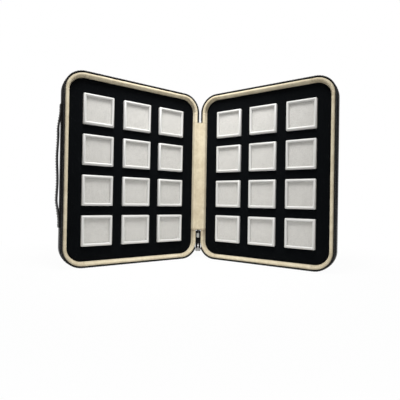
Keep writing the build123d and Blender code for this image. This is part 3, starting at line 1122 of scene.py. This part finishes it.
# %% [markdown]
# ## Spine: leather outside, suede inside
#
# Two strips cross the spine. Outside, a leather strip is sewn behind both walls and
# bends at two fold lines. Inside, a suede strip is wrapped over both rolls and hangs
# slack between them, which hides the fold. Cloth that crosses a joint is split on the
# spine's middle, into one piece for each side.

# %% Strips across the spine
lining_thickness = 0.55
lining_tuck = 6.0
lining_rise = 0.9
lining_slack = 1.75
hem_height = spine_low + lining_rise + 0.9
flap_inset = 1.12
flap_thickness = 0.6


def strip_from_line(line, low, high, step):
    """A sheet that follows a line in plan and runs up the case."""
    bm = bmesh.new()
    verts = [bm.verts.new((p.x, p.y, low)) for p in line]
    edges = [bm.edges.new(pair) for pair in zip(verts, verts[1:])]
    count = ceil((high - low) / step)
    for _ in range(count):
        edges = draw_out(bm, edges, (0, 0, (high - low) / count))
    return bm


def smooth_line(points):
    """A smooth line through plan points: three rounds of corner cutting."""
    for _ in range(3):
        cut = [points[0]]
        for a, b in zip(points, points[1:]):
            cut += [a.lerp(b, 0.25), a.lerp(b, 0.75)]
        points = cut + [points[-1]]
    return points


def plan(half, x, depth):
    """A bench point seen from above."""
    return half.point(x, 0, depth).xy


def make_lining(half):
    """Suede over the roll, from the foam to the spine's middle."""
    over = (lining_tuck - roll_middle + roll_radius + 0.1) / 2
    path = [(lining_tuck, 13.8), (lining_tuck, roll_centre)]
    path += arc(lining_tuck - over, roll_centre, -over, roll_radius + 0.1, 0, pi * 7 / 12, 7)[1:]
    line = [plan(half, *spot) for spot in path]
    crest, slack = line[-1], Vector((spine.x, spine.y - lining_slack * MM))
    for share, belly in ((0.35, 0.05), (0.7, 0.16)):
        line.append(crest.lerp(slack, share) + Vector((0, belly * MM)))
    line.append(slack)
    low, high = (spine_low + lining_rise) * MM, (spine_high + lining_rise) * MM
    bm = strip_from_line(line, low, high, 1.0 * MM)
    layer = bm.verts.layers.float.new("suede_painted_shade")
    for vert in bm.verts:
        height = vert.co.z / MM
        free = smoothstep(crest.x, spine.x, vert.co.x)
        wave = noise.noise(Vector((height * 0.11, half.side * 0.4 + vert.co.x * 90, 2.0)))
        fine = noise.noise(Vector((height * 0.5, vert.co.x * 160, 5.0)))
        vert.co.y += (0.10 * wave + 0.04 * fine) * MM * (0.3 + 0.7 * free)
        # Painted shade on the lining: a little all over, more in its ripples, and most along the
        # hem and the top edge.
        hem = smoothstep(0.45, 0.1, abs(height - hem_height))
        hem += smoothstep(1.3, 0.5, high / MM - height)
        vert[layer] = max(0.09 + 0.10 * smoothstep(0.1, 0.5, wave), 0.5 * hem)
    face_against(bm, 1)
    thicken(bm, lining_thickness * MM)
    piece = piece_object(bm, f"{half.hand}_lining_strip", suede, sharp=60.0)
    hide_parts(f"{half.hand}_spine_lining")
    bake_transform(piece)


def make_spine_leather(half):
    """Leather sewn behind the wall, bending at the fold line to the spine's middle."""
    sewn = [plan(half, flap_inset, depth) for depth in (12.6, 16.0, 18.7)]
    line = smooth_line(sewn + [Vector((half.hinge.x, spine.y)), spine.xy])
    bm = strip_from_line(line, spine_low * MM, spine_high * MM, 2.0 * MM)
    face_against(bm, 1)
    for vert in bm.verts:
        off = abs(vert.co.x - spine.x) / MM
        vert.co.y += 0.45 * MM * smoothstep(3.0, 0.0, off)
    thicken(bm, flap_thickness * MM)
    fold = abs(half.hinge.x - spine.x) / MM
    paint(bm, "wear", lambda co: 0.5 * smoothstep(2.2, 0.6, abs(abs(co.x - spine.x) / MM - fold)))
    piece = piece_object(bm, f"{half.hand}_spine_leather", leather, sharp=60.0)
    nodes = [f"{half.hand}_spine_flap"] + (["spine_strip"] if half.side == LEFT else [])
    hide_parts(*nodes)
    end = half.point(flap_inset, middle, 18.3)
    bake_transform(piece)


for half in halves:
    make_lining(half)
    make_spine_leather(half)

# %% [markdown]
# ## Zip ends, clip, slider and pull
#
# The two tapes run on below the spine and hang side by side to the clip that stops the
# slider. The metal parts keep the CAD's shape. A copy is welded and its edges are
# rounded, because a pressed part never has a knife edge. Where a part gets painted shade
# or a painted highlight, planes cut it along the border first, so that the painted
# numbers end there.


# %% Rounded copies of the metal parts
def softened(node, name, radius, finish, body, reshape=None):
    """A welded copy of a CAD node with its sharp edges rounded."""
    bm = bmesh.new()
    bm.from_mesh(frame["nodes"][node].data)
    for layer in list(bm.loops.layers.uv.values()):
        bm.loops.layers.uv.remove(layer)
    bmesh.ops.remove_doubles(bm, verts=bm.verts, dist=1e-6)
    bmesh.ops.dissolve_limit(bm, angle_limit=radians(2), verts=bm.verts, edges=bm.edges)
    sharp = [e for e in bm.edges if e.is_manifold and e.calc_face_angle(0) > radians(40)]
    round_edges(bm, sharp, radius * MM, 2)
    for face in bm.faces:
        face.material_index = 0
    if reshape:
        reshape(bm)
    riding_piece(bm, name, finish, body, [node], sharp=25.0)


def cut_level(bm, heights):
    for height in heights:
        cut_all(bm, UP * height * MM, UP)


def cut_upright(bm, offsets):
    """Cuts square to x, at offsets from the spine's middle."""
    for offset in offsets:
        cut_all(bm, (spine.x + offset * MM, 0, 0), (1, 0, 0))


slider_low, slider_high = (c.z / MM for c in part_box("zip_slider"))
neck_top, neck_low = slider_low - 7.0, slider_low - 11.2
# Heights of the painted shade along the slider's top.
slider_shade_top, slider_shade_low = slider_high - 0.3, slider_high - 0.9


def darken_neck(bm):
    """The pull's neck has painted shade between the slider and its wider end."""
    cut_level(bm, (neck_low, neck_low + 0.4, neck_top - 0.6, neck_top))
    cut_upright(bm, (-0.6, -0.3, 0.9, 1.2))
    paint(bm, "metal_painted_shade", lambda co: max(
        smoothstep(neck_top - 0.6, neck_top, co.z / MM),
        smoothstep(neck_low, neck_low + 0.4, co.z / MM)
        * smoothstep(0.6, 0.9, abs((co.x - spine.x) / MM - 0.3)),
    ))


def paint_slider_light(bm):
    """The slider's face has a painted highlight, a lighter grey; its top and both its sides have
    painted shade.
    """
    cut_upright(bm, (-2.1, -1.7, 0.8, 1.4))
    cut_level(bm, (slider_shade_low, slider_shade_top))
    paint(bm, "metal_painted_highlight", lambda co: 1.0)
    paint(bm, "metal_painted_shade", lambda co: max(
        smoothstep(slider_shade_low, slider_shade_top, co.z / MM),
        smoothstep(0.8, 1.4, (co.x - spine.x) / MM),
        smoothstep(1.7, 2.1, (spine.x - co.x) / MM),
    ))


def widen_tapes(bm):
    """The tapes stand out past the slider's sides, close up above it, and get a UV map."""
    widened, closed_up = 1.55, 0.15
    upright = [e for e in bm.edges if e.calc_length() > 5 * MM]
    bmesh.ops.subdivide_edges(bm, edges=upright, cuts=24)
    for vert in bm.verts:
        off = vert.co.x - spine.x
        inner_edge = abs(off) < 1.0 * MM and vert.co.z > (slider_high - 0.8) * MM
        vert.co.x = spine.x + off * (closed_up if inner_edge else widened)
        vert.co.z += 0.7 * MM * smoothstep(31.0, 31.6, vert.co.z / MM)
    layer = bm.loops.layers.uv.new("pattern")
    for face in bm.faces:
        for loop in face.loops:
            loop[layer].uv = (loop.vert.co.z / MM, (loop.vert.co.x + loop.vert.co.y) / MM)


softened("zip_slider", "slider_body", 0.16, metal, "slider", paint_slider_light)
softened("zip_pull", "pull_tab", 0.16, metal, "pull", darken_neck)
softened("zip_bottom_stop", "bottom_stop_clip", 0.08, dark_metal, "spine")
softened("zip_end_tapes", "hanging_tape_ends", 0.08, tape, "spine", widen_tapes)

# %% [markdown]
# ## Carrying strap
#
# The strap is a flat leather strip on the long side, sewn down at both ends and bowed a
# little off the wall between them, so that fingers fit under it. It is a grid laid along
# that line, given its thickness and rounded edges. Two rows of stitches run along it.

# %% Strap
strap_width = 10.0
strap_low = 4.2
strap_across = strap_low + strap_width / 2
strap_thickness = 1.9
strap_edge = 0.45
strap_bow = 1.5
strap_middle = middle + 3.0
bow_half = 48.5
ramp = 16.0
strap_end = bow_half + 11.0
tab_thinning = 0.55
stitch_sink = 0.13
strap_stitch_pitch = 2.6


def strap_lift(height):
    """How far the strap stands off the wall at a height on the case."""
    t = abs(height - strap_middle)
    wander = 0.35 * sin((height - strap_middle) * 2 * pi / 44.0 + 0.5)
    wander *= smoothstep(bow_half - 6, bow_half - ramp - 4, t)
    return strap_bow * smoothstep(bow_half, bow_half - ramp, t) + wander


def tab_share(height):
    """How much of the strap's thickness is left at a height: all of it, but less at the tabs."""
    tab = smoothstep(bow_half - 4.0, bow_half + 4.0, abs(height - strap_middle))
    return 1 - (1 - tab_thinning) * tab


def make_strap(half):
    bm = bmesh.new()
    bmesh.ops.create_grid(bm, x_segments=120, y_segments=10, size=0.5)
    for vert in bm.verts:
        height = strap_middle + vert.co.x * 2 * (strap_end - strap_edge)
        across = strap_across + vert.co.y * (strap_width - 2 * strap_edge)
        vert.co = (case_width + strap_edge + strap_lift(height), height, across)
    face_against(bm, 0)
    thicken(bm, strap_thickness - 2 * strap_edge)
    lowest = min(v.co.x for v in bm.verts)
    bmesh.ops.translate(bm, verts=bm.verts, vec=(case_width + strap_edge - lowest, 0, 0))
    round_edges(bm, [e for e in bm.edges if e.calc_face_angle(0) > 1.0], strap_edge, 3)
    for vert in bm.verts:
        t = min((vert.co.z - strap_low) / strap_width, 1.0)
        raised = smoothstep(0.10, 0.24, t) * smoothstep(0.90, 0.76, t)
        outer = smoothstep(0.4, 1.2, vert.co.x - case_width - strap_lift(vert.co.y))
        off = vert.co.x - case_width + 0.12 * raised * outer
        vert.co.x = case_width + off * tab_share(vert.co.y)
    rim = strap_width / 2
    paint(bm, "wear", lambda co: 0.6 * smoothstep(1.4, 0.5, rim - abs(co.z - strap_across)))
    riding_piece(bm, "strap_leather", leather, half.body, ["carry_strap"], half)


def make_strap_stitches(half):
    bm = bmesh.new()
    out = Vector((1, 0, 0))
    run = 2 * (strap_end - 1.6)
    count = int(run / strap_stitch_pitch)
    for row_depth in (strap_low + 1.35, strap_low + strap_width - 1.35):
        for i in range(count):
            height = strap_middle + ((i + 0.5) / count - 0.5) * run
            slope = strap_lift(height + 0.5) - strap_lift(height - 0.5)
            off = strap_thickness * tab_share(height) + strap_lift(height) - stitch_sink
            at = Vector((case_width + off, height, row_depth))
            add_stitch(bm, at, Vector((slope, 1, 0)).normalized(), out, 1.9)
    tab_top = case_width + strap_thickness * tab_thinning + 0.1
    for end in (-1, 1):
        for inner in (strap_end - 1.4, bow_half + 1.5):
            for k in (-1, 0, 1):
                at = Vector((tab_top, strap_middle + end * inner, strap_across + k * 2.3))
                add_stitch(bm, at, UP, out, 1.8)
    riding_piece(bm, "strap_stitches", thread, half.body, half=half)


make_strap(halves[0])
make_strap_stitches(halves[0])

# %% [markdown]
# ## Floor, light and camera
#
# The case stands on a white table in soft, even light from all round. One lamp overhead,
# in front of the case, gives the roll a bright crest and the boxes a shadow under their
# frames. The floor looks white to the camera and to reflections, but still takes the
# case's shadow. The camera is the one that the corners of the 24 boxes were fitted with.

# %% Floor
floor_finish = Finish("white_table", "box_white", Roughness=0.7, Specular_IOR_Level=0.2)
paper = floor_finish.noise(60.0, detail=3.0)
floor_finish.set(Base_Color=floor_finish.blend(paper, (0.86, 0.86, 0.86), (0.88, 0.88, 0.88)))
seen = floor_finish.rays("Camera", "Glossy", "Transmission")
spread = floor_finish.node(
    "ShaderNodeVectorMath", {0: floor_finish.place}, output="Value", operation="LENGTH",
)
far_off = spread.between(0.15, 0.30)
glow = floor_finish.node("ShaderNodeEmission", {"Color": (1.0, 1.0, 1.0), "Strength": 1.0})
lit = Signal(floor_finish, floor_finish.shader.outputs[0])
mixed = floor_finish.node(
    "ShaderNodeMixShader", {0: seen * (0.965 + far_off * 0.035), 1: lit, 2: glow},
)
floor_finish.feed(floor_finish.tree.nodes["Material Output"].inputs["Surface"], mixed)

bm = bmesh.new()
bmesh.ops.create_grid(bm, x_segments=1, y_segments=1, size=3.0)
floor_mesh = bpy.data.meshes.new("table_top")
bm.to_mesh(floor_mesh)
bm.free()
floor_mesh.materials.append(floor_finish.material)
floor = add_object("table_top", floor_mesh)

# %% World and lamp
world = bpy.data.worlds.new("studio")
bpy.context.scene.world = world
world.use_nodes = True
sky = Nodes(world.node_tree)
sky.tree.nodes.remove(sky.tree.nodes["Background"])
ambient, backdrop = [
    sky.node("ShaderNodeBackground", {"Color": (1.0, 1.0, 1.0), "Strength": strength})
    for strength in (0.40, 1.0)
]
clear_rays = sky.rays("Camera", "Transmission")
chosen = sky.node("ShaderNodeMixShader", {0: clear_rays, 1: ambient, 2: backdrop})
sky.feed(sky.tree.nodes["World Output"].inputs["Surface"], chosen)

spot = bpy.data.lights.new("overhead_lamp", "SPOT")
spot.energy, spot.shadow_soft_size = 7.4, 0.08
spot.spot_size, spot.spot_blend = radians(76), 1.0
overhead = add_object("overhead_lamp", spot)
overhead.location = (-0.015, -0.13, 0.43)
aim = Vector((-0.01, 0.0, 0.12)) - overhead.location
overhead.rotation_euler = aim.to_track_quat("-Z", "Y").to_euler()

# %% Camera
camera_data = bpy.data.cameras.new("photo_camera")
camera_data.sensor_width = 36.0
camera_data.lens = 28.28
camera_data.clip_start, camera_data.clip_end = 0.01, 20.0
camera = add_object("photo_camera", camera_data)
right = Vector((0.99981, -0.01012, 0.01673)).normalized()
ahead = Vector((0.01002, 0.99993, 0.0055)).normalized()
upwards = right.cross(ahead).normalized()
camera.matrix_world = placing(right, upwards, -ahead, Vector((-0.000535, -0.33721, 0.06553)))
bpy.context.scene.camera = camera
bpy.context.scene.view_settings.view_transform = "Standard"
